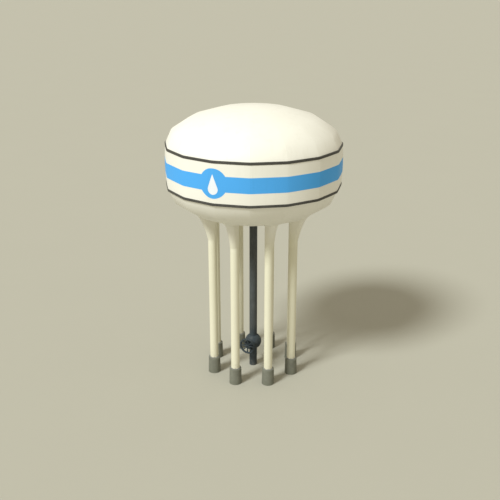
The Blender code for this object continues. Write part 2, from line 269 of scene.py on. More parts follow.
class Web:
    """The nodes of one material."""

    def __init__(self, name):
        self.material = bpy.data.materials.new(name)
        self.material.use_nodes = True
        self.tree = self.material.node_tree
        self.shader = self.tree.nodes["Principled BSDF"]
        place = self.add("ShaderNodeTexCoord").outputs["Object"]
        self.place = place
        parts = self.add("ShaderNodeSeparateXYZ", {}, {0: place}).outputs
        self.x, self.y, self.z = (Signal(self, parts[i]) for i in range(3))

    def add(self, kind, values=None, sockets=None):
        node = self.tree.nodes.new(kind)
        for key, value in (values or {}).items():
            setattr(node, key, value)
        for key, value in (sockets or {}).items():
            self.feed(node.inputs[key], value)
        return node

    def feed(self, socket, value):
        if isinstance(value, Signal):
            value = value.socket
        if isinstance(value, bpy.types.NodeSocket):
            self.tree.links.new(value, socket)
        elif socket.type == "RGBA":
            socket.default_value = (*value[:3], 1.0)
        else:
            socket.default_value = value

    def scaled(self, x, y, z):
        node = self.add("ShaderNodeMapping", {}, {"Vector": self.place, "Scale": (x, y, z)})
        return node.outputs["Vector"]

    def noise(self, scale, detail=3.0, roughness=0.5, vector=None):
        node = self.add("ShaderNodeTexNoise", {}, {"Vector": vector or self.place, "Scale": scale,
                                                   "Detail": detail, "Roughness": roughness})
        return Signal(self, node.outputs["Fac"])

    def cells(self, scale, vector=None):
        node = self.add("ShaderNodeTexVoronoi", {}, {"Vector": vector or self.place, "Scale": scale})
        return Signal(self, node.outputs["Distance"])

    def around(self):
        """(angle about the axis, distance from it)."""
        angle = self.y.math("ARCTAN2", self.x)
        distance = (self.x * self.x + self.y * self.y).math("SQRT")
        return angle, distance

    def mix(self, share, first, second):
        node = self.add("ShaderNodeMix", {"data_type": "RGBA"}, {0: share, 6: first, 7: second})
        return node.outputs[2]

    def bump(self, height, distance, strength=1.0, below=None):
        sockets = {"Height": height, "Distance": distance, "Strength": strength}
        if below:
            sockets["Normal"] = below
        return self.add("ShaderNodeBump", {}, sockets).outputs["Normal"]

    def finish(self, colour, roughness, normal=None, **constants):
        self.feed(self.shader.inputs["Base Color"], colour)
        self.feed(self.shader.inputs["Roughness"], roughness)
        if normal:
            self.feed(self.shader.inputs["Normal"], normal)
        for key, value in constants.items():
            self.shader.inputs[key.replace("_", " ")].default_value = value
        return self.material


def shade(colour, factor):
    return tuple(min(1.0, channel * factor) for channel in colour)


def enamel(name, colour, painted_shade_and_splash=0.0, shine=0.35):
    """Outdoor gloss paint on plate: faint clouds, rain streaks, orange peel, slow waviness."""
    web = Web(name)
    clouds = web.noise(0.35, 5.0, 0.55)
    streaks = web.noise(1.0, 4.0, 0.6, web.scaled(2.6, 2.6, 0.22)).ramp(0.52, 0.74)
    fine = web.noise(9.0, 4.0, 0.6)
    soil = clouds.ramp(0.35, 0.75) * 0.35 + streaks * 0.4 + fine.ramp(0.55, 0.8) * 0.12
    colour_out = web.mix(soil, tuple(colour), shade((colour[0] * 0.95, colour[1] * 0.945, colour[2] * 0.92), 0.95))
    if painted_shade_and_splash:
        # Painted shade: the legs turn darker and yellower from the heads down, standing in for the weak light
        # bounced onto them, with a little real dust in it. Real soil splash near the footings follows.
        dust = web.z.ramp(HEAD_TOP, COLUMN_HIGH.z - 0.5) * painted_shade_and_splash
        colour_out = web.mix(dust, colour_out, (0.60, 0.56, 0.30))
        splash = web.z.ramp(FOOTING_TOP + 0.9, FOOTING_TOP) * web.noise(5.0, 5.0, 0.65).ramp(0.35, 0.7)
        colour_out = web.mix(splash * painted_shade_and_splash * 0.7, colour_out, (0.42, 0.38, 0.29))
    peel = web.noise(48.0, 2.0, 0.5)
    waves = web.noise(0.9, 2.0, 0.45)
    normal = web.bump(waves, 0.012, 0.35)
    normal = web.bump(peel, 0.0006, 0.5, normal)
    roughness = 0.42 + clouds * 0.12 + streaks * 0.08
    return web.finish(colour_out, roughness, normal, Specular_IOR_Level=shine)


def hoop_paint(colour):
    web = Web("hoop_paint")
    mottle = web.noise(2.2, 5.0, 0.6)
    chips = web.noise(34.0, 3.0, 0.55).ramp(0.66, 0.7)
    dust = web.noise(1.0, 4.0, 0.6, web.scaled(3.0, 3.0, 0.6)).ramp(0.4, 0.8)
    base = web.mix(mottle.ramp(0.3, 0.75), tuple(colour), shade(colour, 1.3))
    base = web.mix(dust * 0.12, base, (0.22, 0.20, 0.16))
    base = web.mix(chips * 0.35, base, (0.20, 0.13, 0.085))
    normal = web.bump(web.noise(60.0, 2.0, 0.5), 0.0006, 0.5)
    return web.finish(base, 0.46 + mottle * 0.18, normal, Specular_IOR_Level=0.35)


def slate_paint(colour):
    web = Web("slate_paint")
    mottle = web.noise(3.0, 5.0, 0.6)
    dust = web.noise(1.0, 4.0, 0.6, web.scaled(5.0, 5.0, 0.8)).ramp(0.45, 0.8)
    chips = web.noise(30.0, 4.0, 0.6).ramp(0.68, 0.72)
    low = web.z.ramp(0.7, 0.0) * web.noise(6.0, 5.0, 0.65).ramp(0.35, 0.65)
    base = web.mix(mottle.ramp(0.3, 0.75), shade(colour, 0.9), shade(colour, 1.35))
    # Painted light: paler and warmer from the valve's top upward, standing in for light thrown onto the riser from
    # the legs. It shares its colour with the real dust noise.
    high = web.z.ramp(VALVE_HIGH.z, VALVE_HIGH.z + 1.0)
    base = web.mix(dust * 0.16 + high * 0.18, base, (0.20, 0.19, 0.165))
    base = web.mix(chips * 0.5, base, (0.11, 0.065, 0.04))
    base = web.mix(low * 0.35, base, (0.16, 0.14, 0.11))
    normal = web.bump(web.noise(26.0, 4.0, 0.6), 0.0012, 0.5)
    return web.finish(base, 0.5 + mottle * 0.2, normal, Specular_IOR_Level=0.2)


def cast_concrete(colour):
    web = Web("cast_concrete")
    clouds = web.noise(2.4, 6.0, 0.6)
    grain = web.noise(42.0, 5.0, 0.7)
    pores = web.cells(26.0).ramp(0.16, 0.06)
    few = web.noise(9.0, 2.0, 0.5).ramp(0.5, 0.62)
    pits = pores * few
    damp = web.z.ramp(0.42, 0.0) * web.noise(5.0, 5.0, 0.6).ramp(0.25, 0.6)
    base = web.mix(clouds.ramp(0.3, 0.7), shade(colour, 0.86), shade(colour, 1.14))
    base = web.mix(grain.ramp(0.35, 0.7) * 0.3, base, shade(colour, 1.35))
    base = web.mix(pits * 0.7, base, shade(colour, 0.4))
    base = web.mix(damp * 0.45, base, (0.13, 0.135, 0.095))
    relief = grain * 0.35 - pits
    normal = web.bump(relief, 0.006, 0.7)
    return web.finish(base, 0.82 + clouds * 0.12, normal)


def zinc(name="zinc_steel"):
    web = Web(name)
    spangle = web.cells(38.0)
    mottle = web.noise(6.0, 4.0, 0.6)
    base = web.mix(spangle.ramp(0.1, 0.6), (0.21, 0.215, 0.205), (0.30, 0.30, 0.285))
    base = web.mix(mottle.ramp(0.5, 0.8) * 0.4, base, (0.18, 0.15, 0.12))
    return web.finish(base, 0.42 + mottle * 0.2, None, Metallic=0.35)


def bright_stem():
    web = Web("stem_steel")
    rings = web.noise(1.0, 3.0, 0.6, web.scaled(4.0, 240.0, 4.0))
    base = web.mix(rings, (0.34, 0.33, 0.31), (0.52, 0.51, 0.49))
    return web.finish(base, 0.25 + rings * 0.2, None, Metallic=0.9)


def stage_floor(colour):
    web = Web("stage_floor")
    soft = web.noise(0.15, 3.0, 0.5)
    base = web.mix(soft, shade(colour, 0.99), shade(colour, 1.01))
    return web.finish(base, 0.95)


MATERIALS = {}


def material(name):
    if name not in MATERIALS:
        paint = settings().paint
        makers = {
            "white": lambda: enamel("white_enamel", paint.white),
            "leg_white": lambda: enamel("leg_enamel", paint.white, 0.42),
            "blue": lambda: enamel("blue_enamel", paint.blue, shine=0.1),
            "emblem": lambda: enamel("emblem_enamel", paint.emblem_white),
            "hoop": lambda: hoop_paint(paint.dark),
            "slate": lambda: slate_paint(paint.slate),
            "concrete": lambda: cast_concrete(paint.concrete),
            "zinc": zinc,
            "stem": bright_stem,
            "floor": lambda: stage_floor(settings().stage.floor),
        }
        MATERIALS[name] = makers[name]()
    return MATERIALS[name]


# Mesh building

def edges_of(parts):
    return [part for part in parts if isinstance(part, bmesh.types.BMEdge)]


def verts_of(parts):
    return [part for part in parts if isinstance(part, bmesh.types.BMVert)]


def faces_of(parts):
    return [part for part in parts if isinstance(part, bmesh.types.BMFace)]


def spun(section, steps, closed=True, bm=None):
    """A section (r, z) spun about Z into a closed surface."""
    bm = bm or bmesh.new()
    ring = [bm.verts.new((r, 0, z)) for r, z in section]
    pairs = list(zip(ring, ring[1:]))
    if closed:
        pairs.append((ring[-1], ring[0]))
    edges = [bm.edges.new(pair) for pair in pairs]
    bmesh.ops.spin(bm, geom=ring + edges, axis=(0, 0, 1), cent=(0, 0, 0), dvec=(0, 0, 0),
                   angle=math.tau, steps=steps, use_merge=True, use_duplicate=False)
    bmesh.ops.remove_doubles(bm, verts=bm.verts, dist=0.00002)
    bmesh.ops.dissolve_degenerate(bm, edges=bm.edges, dist=0.00001)
    bmesh.ops.recalc_face_normals(bm, faces=bm.faces)
    return bm


def lofted(sides, rows, place):
    """A tube extruded row by row from a circle; place(turn, row) puts each vertex. Ends are filled."""
    bm = bmesh.new()
    turn = bm.verts.layers.float.new("turn")
    bmesh.ops.create_circle(bm, segments=sides, radius=1)
    for vertex in bm.verts:
        vertex[turn] = math.atan2(vertex.co.y, vertex.co.x)
        vertex.co = place(vertex[turn], 0)
    first = edges = bm.edges[:]
    for row in range(1, rows):
        made = bmesh.ops.extrude_edge_only(bm, edges=edges)["geom"]
        fresh = set(verts_of(made))
        edges = [edge for edge in edges_of(made) if set(edge.verts) <= fresh]
        for vertex in fresh:
            vertex.co = place(vertex[turn], row)
    bmesh.ops.holes_fill(bm, edges=first + edges, sides=0)
    bmesh.ops.recalc_face_normals(bm, faces=bm.faces)
    return bm


def add_bar(bm, start, end, radius, sides=24, end_radius=None, edge=0.0):
    """A round or many-sided bar between two points, with its end edges bevelled by edge."""
    start, end = Vector(start), Vector(end)
    along = end - start
    turn = along.to_track_quat("Z", "Y").to_matrix().to_4x4()
    place = Matrix.Translation((start + end) / 2) @ turn
    tip = radius if end_radius is None else end_radius
    made = bmesh.ops.create_cone(bm, cap_ends=True, segments=sides, radius1=radius, radius2=tip,
                                 depth=along.length, matrix=place)["verts"]
    if edge:
        ends = {edge_ for vertex in made for edge_ in vertex.link_edges
                if abs((edge_.verts[0].co - edge_.verts[1].co).dot(along.normalized())) < edge / 10}
        bmesh.ops.bevel(bm, geom=list(ends), offset=edge, offset_type="OFFSET", segments=2,
                        profile=0.5, affect="EDGES", material=-1)
    return made


def publish(name, bm, paint, nodes=(), body="tower", sharp=32):
    """Makes the finished piece: smooth but for sharp edges, riding on its body."""
    mesh = bpy.data.meshes.new(name)
    bm.to_mesh(mesh)
    bm.free()
    mesh.shade_smooth()
    mesh.set_sharp_from_angle(angle=math.radians(sharp))
    mesh.materials.append(material(paint))
    piece = bpy.data.objects.new(name, mesh)
    bpy.context.scene.collection.objects.link(piece)
    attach(piece, body)
    if nodes:
        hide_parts(*nodes)
    return piece


# The tank's plan: a circle with sixteen nearly flat sides and rounded corners

def corner_share(turn):
    """0 at a corner of the plan, 1 in the middle of a side."""
    from_corner = abs((turn + SECTOR / 2) % SECTOR - SECTOR / 2)
    return from_corner / (SECTOR / 2)


def plan_factor(turn):
    """Radius at this turn over the radius at a corner."""
    from_middle = 1 - corner_share(turn)
    start = 1 - CORNER_ROUNDING
    flat = 1 - min(from_middle, start) ** 2
    past = max(0.0, from_middle - start)
    flat += -2 * start * past + start / CORNER_ROUNDING * past ** 2
    depth = (1 - math.cos(SECTOR / 2)) * settings().tank.facets
    return 1 - depth * (flat - CORNER_ROUNDING)


def plan_lean(turn):
    """Angle between the radius and the plan's own outward normal."""
    step = 0.0005
    slope = (plan_factor(turn + step) - plan_factor(turn - step)) / (2 * step)
    return math.atan(slope / plan_factor(turn))


def bunched(turn):
    """Moves an even mesh column towards the nearest corner of the plan."""
    corner = round(turn / SECTOR) * SECTOR
    share = min(1.0, abs(turn - corner) / (SECTOR / 2))
    return corner + math.copysign(share ** COLUMN_POWER * SECTOR / 2, turn - corner)


def shape_plan(bm, weld_at=None):
    """Gives a spun shell the tank's plan, with a raised weld along the corners that weld_at picks."""
    for vertex in bm.verts:
        radius = math.hypot(vertex.co.x, vertex.co.y)
        if radius < 0.001:
            continue
        turn = math.atan2(vertex.co.y, vertex.co.x)
        moved = bunched(turn)
        radius *= plan_factor(moved)
        on_corner = abs(turn - round(turn / SECTOR) * SECTOR) < SECTOR / SECTOR_COLUMNS / 4
        if weld_at and on_corner and weld_at(round(turn / SECTOR), radius):
            radius += settings().tank.weld_height
        vertex.co.x = radius * math.cos(moved)
        vertex.co.y = radius * math.sin(moved)


def soften_shading(piece, rise_lean=None):
    """Turns the normals most of the way to those of a round tank, so its sides stay soft.

    rise_lean gives the further turn upward at a height.
    """
    share = settings().tank.smooth_shading
    mesh = piece.data
    turns = []
    for vertex in mesh.vertices:
        x, y, z = vertex.co
        turn = Matrix.Identity(3)
        if math.hypot(x, y) > 0.01:
            around = math.atan2(y, x)
            turn = Matrix.Rotation(plan_lean(around) * share, 3, "Z")
            if rise_lean:
                level = Vector((math.sin(around), -math.cos(around), 0))
                turn = Matrix.Rotation(rise_lean(z), 3, level) @ turn
        turns.append(turn)
    mesh.normals_split_custom_set([turns[loop.vertex_index] @ normal.vector
                                   for loop, normal in zip(mesh.loops, mesh.corner_normals)])


# The side of roof and bowl: straight courses with rounded edges between them. A place on it
# counts courses, from 0 at the seam to END_COURSES at the crown.

def halved(low, high, is_low):
    """Halves a range until it closes on the value where is_low turns false."""
    for _ in range(30):
        middle = (low + high) / 2
        if is_low(middle):
            low = middle
        else:
            high = middle
    return low


def course_corner(course, inset=0.0):
    """(r, height above the seam) at which a course begins."""
    turn = math.pi / 2 * course / END_COURSES
    return Vector(((TANK_RADIUS - inset) * math.cos(turn), (END_RISE - inset) * math.sin(turn)))


def on_course(place):
    course = min(END_COURSES - 1, int(place))
    return course_corner(course).lerp(course_corner(course + 1), place - course)


def end_point(place):
    """(r, height above the seam) at a place."""
    edge = min(END_COURSES - 1, max(1, round(place)))
    t = ((place - edge) / COURSE_ROUNDING + 1) / 2
    if not 0 < t < 1:
        return on_course(place)
    start, end = on_course(edge - COURSE_ROUNDING), on_course(edge + COURSE_ROUNDING)
    return start * (1 - t) ** 2 + course_corner(edge) * 2 * t * (1 - t) + end * t ** 2


def end_slope(place):
    """How far the outward normal is turned away from the level at a place."""
    step = 0.002
    low, high = end_point(max(0.0, place - step)), end_point(min(END_COURSES, place + step))
    return math.atan2(low.x - high.x, high.y - low.y)


def edge_slope(edge):
    """Slope that the shading has at an edge: the mean of the two courses that meet there."""
    if edge == 0:
        return end_slope(0.5) * SEAM_SLOPE
    if edge == END_COURSES:
        return math.pi / 2
    return (end_slope(edge - 0.5) + end_slope(edge + 0.5)) / 2


def end_lean(seam, direction):
    """A function that gives the turn, at a height, from the courses' slope towards a dome's."""
    leans = {}

    def lean(z):
        height = round(min(END_RISE, max(0.0, (z - seam) * direction)), 4)
        if height not in leans:
            place = halved(0.0, END_COURSES, lambda place: end_point(place).y < height)
            course = min(END_COURSES - 1, int(place))
            low, high = edge_slope(course), edge_slope(course + 1)
            soft = low + (high - low) * (place - course)
            leans[height] = direction * (soft - end_slope(place)) * settings().tank.dome_shading
        return leans[height]

    return lean


def end_section(seam, direction):
    """Closed section (r, z) of the roof or bowl, with a raised weld round the crown plate."""
    tank = settings().tank
    rounded = [COURSE_ROUNDING * row / 4 for row in range(5)]
    straight = [COURSE_ROUNDING + (1 - 2 * COURSE_ROUNDING) * row / tank.course_rows
                for row in range(1, tank.course_rows)]
    shares = rounded + straight + [1 - share for share in rounded[:0:-1]]
    places = [course + share for course in range(END_COURSES) for share in shares] + [END_COURSES]
    crown = halved(0.0, END_COURSES, lambda place: end_point(place).x > tank.crown_radius)
    near = 0.006
    places = [place for place in places if abs(place - crown) > 2 * near]
    places = sorted(places + [crown - near, crown, crown + near])
    outer = []
    for place in places:
        raised = tank.weld_height if place == crown else 0.0
        slope = end_slope(place)
        point = end_point(place) + Vector((math.cos(slope), math.sin(slope))) * raised
        outer.append((point.x, seam + direction * point.y))
    inner = []
    for course in range(END_COURSES + 1):
        corner = course_corner(course, SHELL)
        inner.append((corner.x, seam + direction * corner.y))
    outer[-1] = (0.0, outer[-1][1])
    inner[-1] = (0.0, inner[-1][1])
    return outer[::-1] + inner


def wall_radius(z):
    share = (z - LOWER_SEAM) / (UPPER_SEAM - LOWER_SEAM)
    return TANK_RADIUS + WALL_BULGE * 4 * share * (1 - share)


def wall_lean(z):
    """The further turn, at a height, that hides the wall's bulge."""
    step = 0.001
    slope = (wall_radius(z + step) - wall_radius(z - step)) / (2 * step)
    return math.atan(slope) * WALL_SHADING


def plate_joint(corner, radius):
    """True where two wall plates are welded together."""
    return corner % 2 == 1 and radius > TANK_RADIUS - SHELL / 2


def wall_point(x, z, lift):
    """A point over the wall's outside, x along it from the middle of the front."""
    turn = -math.pi / 2 + x / TANK_RADIUS
    radius = (wall_radius(z) + lift) * plan_factor(turn)
    corner = round(turn / SECTOR)
    if abs(turn - corner * SECTOR) < 0.0001 and plate_joint(corner, radius):
        radius += settings().tank.weld_height
    return Vector((radius * math.cos(turn), radius * math.sin(turn), z))


def bowl_height(x, y):
    """Height of the bowl's outside over a point of the plan."""
    radius = math.hypot(x, y) / plan_factor(math.atan2(y, x))
    place = halved(0.0, END_COURSES, lambda place: end_point(place).x > radius)
    return LOWER_SEAM - end_point(place).y


class WATER_TOWER_OT_tank_shells(bpy.types.Operator):
    """Roof, wall and bowl of the tank, with their weld seams"""
    bl_idname = "water_tower.tank_shells"
    bl_label = "Tank Shells"

    def execute(self, context):
        tank = settings().tank

        def past_crown(corner, radius):
            return radius > tank.crown_radius

        for name, seam, direction, node in (("roof", UPPER_SEAM, 1, "tank_roof"),
                                            ("bowl", LOWER_SEAM, -1, "tank_bowl")):
            bm = spun(end_section(seam, direction), TANK_COLUMNS, closed=False)
            shape_plan(bm, past_crown)
            shell = publish(name, bm, "white", [node])
            soften_shading(shell, end_lean(seam, direction))
        heights = [LOWER_SEAM + (UPPER_SEAM - LOWER_SEAM) * row / tank.wall_rows
                   for row in range(tank.wall_rows + 1)]
        section = [(wall_radius(z), z) for z in heights]
        section += [(wall_radius(z) - SHELL, z) for z in reversed(heights[::3])]
        bm = spun(section, TANK_COLUMNS)
        shape_plan(bm, plate_joint)
        plates = [f"wall_plate_{number}" for number in range(1, COLUMNS + 1)]
        soften_shading(publish("wall", bm, "white", plates), wall_lean)
        return {"FINISHED"}


class WATER_TOWER_OT_hoops(bpy.types.Operator):
    """Dark steel hoops over the two seams"""
    bl_idname = "water_tower.hoops"
    bl_label = "Hoops"

    edge: FloatProperty(name="Edge", description="Radius of the hoop's edges", default=0.008,
                        unit="LENGTH")

    def execute(self, context):
        for name, seam in (("lower_hoop", LOWER_SEAM), ("upper_hoop", UPPER_SEAM)):
            low, high = seam - HOOP_HALF_HEIGHT, seam + HOOP_HALF_HEIGHT
            inner = TANK_RADIUS - SHELL + 0.005
            section = [(inner, low)]
            for row in range(4):
                turn = math.pi / 2 * row / 3
                section.append((HOOP_RADIUS - self.edge + self.edge * math.sin(turn),
                                low + self.edge - self.edge * math.cos(turn)))
            for row in range(4):
                turn = math.pi / 2 * row / 3
                section.append((HOOP_RADIUS - self.edge + self.edge * math.cos(turn),
                                high - self.edge + self.edge * math.sin(turn)))
            section.append((inner, high))
            bm = spun(section, TANK_COLUMNS)
            shape_plan(bm)
            soften_shading(publish(f"{name}_bar", bm, "hoop", [name], sharp=60))
        return {"FINISHED"}


def cut_film(bm, point, across):
    parts = bm.verts[:] + bm.edges[:] + bm.faces[:]
    bmesh.ops.bisect_plane(bm, geom=parts, dist=1e-6, plane_co=point, plane_no=across)


def film_from(outline, lift, name, paint):
    """A thin coat of paint on the wall, cut to a flat outline (x, z) and then bent round it."""
    bm = bmesh.new()
    bm.faces.new([bm.verts.new((x, 0, z)) for x, z in outline])
    reach = max(abs(x) for x, z in outline)
    for column in range(-TANK_COLUMNS // 2 + 1, TANK_COLUMNS // 2):
        x = bunched(SECTOR / SECTOR_COLUMNS * column) * TANK_RADIUS
        if abs(x) < reach:
            cut_film(bm, (x, 0, 0), (1, 0, 0))
    rows = settings().tank.wall_rows
    for row in range(1, rows):
        cut_film(bm, (0, 0, LOWER_SEAM + (UPPER_SEAM - LOWER_SEAM) * row / rows), (0, 0, 1))
    grown = bmesh.ops.extrude_face_region(bm, geom=bm.faces[:])["geom"]
    bmesh.ops.translate(bm, verts=verts_of(grown), vec=(0, FILM, 0))
    half_way = math.pi * TANK_RADIUS - 0.001
    ends = [face for face in bm.faces if all(abs(vertex.co.x) > half_way for vertex in face.verts)]
    bmesh.ops.delete(bm, geom=ends, context="FACES")
    for vertex in bm.verts:
        vertex.co = wall_point(vertex.co.x, vertex.co.z, lift - vertex.co.y)
    bmesh.ops.remove_doubles(bm, verts=bm.verts, dist=0.00005)
    bmesh.ops.recalc_face_normals(bm, faces=bm.faces)
    soften_shading(publish(name, bm, paint, sharp=40), wall_lean)


def band_outline(low, high, middle, radius, steps=40):
    """The band rolled out flat, with the disc's arcs standing out of it above and below."""
    half_way = math.pi * TANK_RADIUS
    above, below = math.asin((high - middle) / radius), math.asin((middle - low) / radius)
    points = [(-half_way, high), (-half_way, low)]
    for start, end in ((math.pi + below, math.tau - below), (above, math.pi - above)):
        for step in range(steps + 1):
            turn = start + (end - start) * step / steps
            points.append((radius * math.cos(turn), middle + radius * math.sin(turn)))
        if end > math.pi:
            points += [(half_way, low), (half_way, high)]
    return points


def drop_outline(low, high, width, steps=28):
    """A drop: a round bottom and two sides that leave it tangentially and meet in the tip."""
    radius = width / 2
    middle = low + radius
    tangent = math.acos(radius / (high - middle))
    points = [(0.0, high)]
    for step in range(steps + 1):
        turn = math.pi / 2 - tangent - (math.tau - 2 * tangent) * step / steps
        points.append((radius * math.cos(turn), middle + radius * math.sin(turn)))
    return points


class WATER_TOWER_OT_painted_band(bpy.types.Operator):
    """Blue band round the wall with its disc, and the white drop on it"""
    bl_idname = "water_tower.painted_band"
    bl_label = "Painted Band"

    def execute(self, context):
        paint = settings().paint
        band = band_outline(paint.band_low, paint.band_high, paint.disc_height, paint.disc_radius)
        film_from(band, PAINT_LIFT, "blue_band", "blue")
        drop = drop_outline(paint.drop_low, paint.drop_high, paint.drop_width)
        film_from(drop, DROP_LIFT, "white_drop", "emblem")
        return {"FINISHED"}


def bezier(t, a, b, c, d):
    s = 1 - t
    return s ** 3 * a + 3 * s * s * t * b + 3 * s * t * t * c + t ** 3 * d


def lean_at(z):
    """How far a leg's outer side leans outward at a height."""
    low, high = COLUMN_HIGH.z, HEAD_TOP
    if z <= low:
        return 0.0
    rise = high - low
    t = halved(0.0, 1.0, lambda t: bezier(t, low, low + 0.26 * rise, low + 0.87 * rise, high) < z)
    past = max(0.0, z - high)
    return HEAD_REACH * bezier(t, 0, 0.13, 0.47, 1) + 0.3 * past


def outer_share(turn):
    """0 on the side of a leg that faces the axis, 1 on its outer side."""
    share = min(1.0, max(0.0, (math.cos(turn) + 0.35) / 0.7))
    return share * share * (3 - 2 * share)


def leg_point(turn, z):
    """A point of the leg's surface, from the column's own centre, local +X outward."""
    out = COLUMN_RADIUS * math.cos(turn) + lean_at(z) * outer_share(turn)
    return Vector((out, COLUMN_RADIUS * math.sin(turn), z))


def bowl_hit(turn):
    """Height at which the leg's surface meets the bowl along one of its lines."""
    def below(z):
        point = leg_point(turn, z)
        return z < bowl_height(COLUMN_CIRCLE + point.x, point.y)

    return halved(COLUMN_HIGH.z, HEAD_TOP + 0.3, below)


def leg_mesh():
    """One leg: a straight tube, a flared head and a fillet that lies on the bowl."""
    support = settings().support
    seams = [COLUMN_LOW.z + (COLUMN_HIGH.z - COLUMN_LOW.z) * share for share in (1 / 3, 2 / 3, 1)]
    foot = FOOTING_TOP + support.plate_height
    shaft = [(foot, 0.0)]
    for seam in seams:
        shaft += [(seam + step, raised) for step, raised in WELD_BEAD]
    hits = {}

    def place(turn, row):
        across = Vector((math.cos(turn), math.sin(turn), 0))
        if row < len(shaft):
            z, raised = shaft[row]
            return across * (COLUMN_RADIUS + raised) + Vector((0, 0, z))
        key = round(turn, 5)
        if key not in hits:
            hits[key] = bowl_hit(turn)
        hit = hits[key]
        head_low = shaft[-1][0]
        row -= len(shaft) - 1
        if row <= support.head_rows:
            return leg_point(turn, head_low + (hit - support.fillet - head_low) * row / support.head_rows)
        t = (row - support.head_rows) / support.fillet_rows
        start = leg_point(turn, hit - support.fillet)
        corner = leg_point(turn, hit)
        end = corner + across * support.fillet
        end.z = bowl_height(COLUMN_CIRCLE + end.x, end.y) + 0.004
        return start * (1 - t) ** 2 + corner * 2 * t * (1 - t) + end * t ** 2

    rows = len(shaft) + support.head_rows + support.fillet_rows
    return lofted(support.leg_sides, rows, place)


def column_place(number):
    """Turn about Z and stand on the column circle; column 1 is at -Y."""
    azimuth = -math.pi / 2 + math.tau * (number - 1) / COLUMNS
    return Matrix.Rotation(azimuth, 4, "Z") @ Matrix.Translation((COLUMN_CIRCLE, 0, 0))


class WATER_TOWER_OT_legs(bpy.types.Operator):
    """Eight legs whose flared heads run into the bowl"""
    bl_idname = "water_tower.legs"
    bl_label = "Legs"

    def execute(self, context):
        pattern = leg_mesh()
        for number in range(1, COLUMNS + 1):
            bm = pattern.copy()
            bmesh.ops.transform(bm, matrix=column_place(number), verts=bm.verts)
            nodes = [f"column_{number}", f"column_head_{number}"]
            publish(f"leg_{number}", bm, "leg_white", nodes, sharp=50)
        pattern.free()
        return {"FINISHED"}


class WATER_TOWER_OT_base_plates(bpy.types.Operator):
    """Base plates with anchor bolts, nuts and washers"""
    bl_idname = "water_tower.base_plates"
    bl_label = "Base Plates"

    def execute(self, context):
        support = settings().support
        top = FOOTING_TOP + support.plate_height
        for number in range(1, COLUMNS + 1):
            bm = bmesh.new()
            add_bar(bm, (0, 0, FOOTING_TOP + TOUCH), (0, 0, top), support.plate_radius, 64, edge=0.004)
            ring = (COLUMN_RADIUS + support.plate_radius) / 2 + 0.002
            for bolt in range(support.bolts):
                turn = math.tau * (bolt + 0.5) / support.bolts
                x, y = ring * math.cos(turn), ring * math.sin(turn)
                add_bar(bm, (x, y, top), (x, y, top + 0.004), 0.024, 16)
                add_bar(bm, (x, y, top + 0.004), (x, y, top + 0.024), 0.021, 6, edge=0.002)
                add_bar(bm, (x, y, top + 0.024), (x, y, top + 0.048), 0.011, 12, edge=0.002)
            bmesh.ops.transform(bm, matrix=column_place(number), verts=bm.verts)
            bmesh.ops.recalc_face_normals(bm, faces=bm.faces)
            publish(f"base_plate_{number}", bm, "zinc", sharp=30)
        return {"FINISHED"}


class WATER_TOWER_OT_footings(bpy.types.Operator):
    """Cast concrete footings with a chamfered top and slightly uneven faces"""
    bl_idname = "water_tower.footings"
    bl_label = "Footings"

    chamfer: FloatProperty(name="Chamfer", description="Bevel round the top", default=0.03, unit="LENGTH")

    def execute(self, context):
        top_radius = FOOTING_RADIUS - 0.02
        for number in range(1, COLUMNS + 1):
            rows = 14
            section = [(0.0, 0.0)]
            for row in range(rows + 1):
                share = row / rows
                section.append((FOOTING_RADIUS + (top_radius - FOOTING_RADIUS) * share,
                                (FOOTING_TOP - self.chamfer) * share))
            section += [(top_radius - self.chamfer * 0.3, FOOTING_TOP - self.chamfer * 0.3),
                        (top_radius - self.chamfer, FOOTING_TOP), (top_radius - 0.12, FOOTING_TOP),
                        (0.0, FOOTING_TOP)]
            bm = spun(section, 72, closed=False)
            bmesh.ops.transform(bm, matrix=column_place(number), verts=bm.verts)
            centre = column_place(number).translation
            for vertex in bm.verts:
                across = (vertex.co - centre) * Vector((1, 1, 0))
                if across.length > top_radius - self.chamfer * 1.1 and 0 < vertex.co.z < FOOTING_TOP - 0.001:
                    push = noise.noise(vertex.co * 5.0) * 0.003 - 0.003
                    vertex.co += across.normalized() * push
            publish(f"pier_{number}", bm, "concrete", [f"footing_{number}"], sharp=28)
        return {"FINISHED"}


def pipe_section(low, high, radius, seams, lip=0.0):
    """Closed section of a pipe with raised welds, and a fillet lip at its top."""
    points = [(0.0, low), (radius, low)]
    for seam in seams:
        points += [(radius + raised, seam + step) for step, raised in WELD_BEAD]
    if lip:
        for step in range(7):
            turn = math.pi / 2 * step / 6
            points.append((radius + lip * (1 - math.cos(turn)), high - lip + lip * math.sin(turn)))
    points += [(radius + lip, high + (0.02 if lip else 0)), (0.0, high + (0.02 if lip else 0))]
    return points


class WATER_TOWER_OT_riser(bpy.types.Operator):
    """Riser pipe from the valve to the bowl, and the inlet pipe below the valve"""
    bl_idname = "water_tower.riser"
    bl_label = "Riser"

    def execute(self, context):
        sides = settings().valve.sides
        low = RISER_LOW.z
        lip = 0.05
        high = bowl_height(RISER_RADIUS + lip, 0) + 0.002
        seams = [low + 0.06] + [low + (high - low) * share for share in (1 / 3, 2 / 3)]
        bm = spun(pipe_section(low, high, RISER_RADIUS, seams, lip), sides, closed=False)
        publish("riser", bm, "slate", ["riser_pipe"])
        inlet_high = VALVE_LOW.z - TOUCH
        bm = spun(pipe_section(0.0, inlet_high, RISER_RADIUS, [inlet_high - 0.06]), sides, closed=False)
        publish("inlet", bm, "slate", ["inlet_pipe"])
        return {"FINISHED"}


def face_front(bm):
    """Lays a piece made about Z along -Y, at the valve's height."""
    place = Matrix.Translation((0, 0, VALVE_Z)) @ Matrix.Rotation(math.pi / 2, 4, "X")
    bmesh.ops.transform(bm, matrix=place, verts=bm.verts)
    bmesh.ops.recalc_face_normals(bm, faces=bm.faces)
    return bm


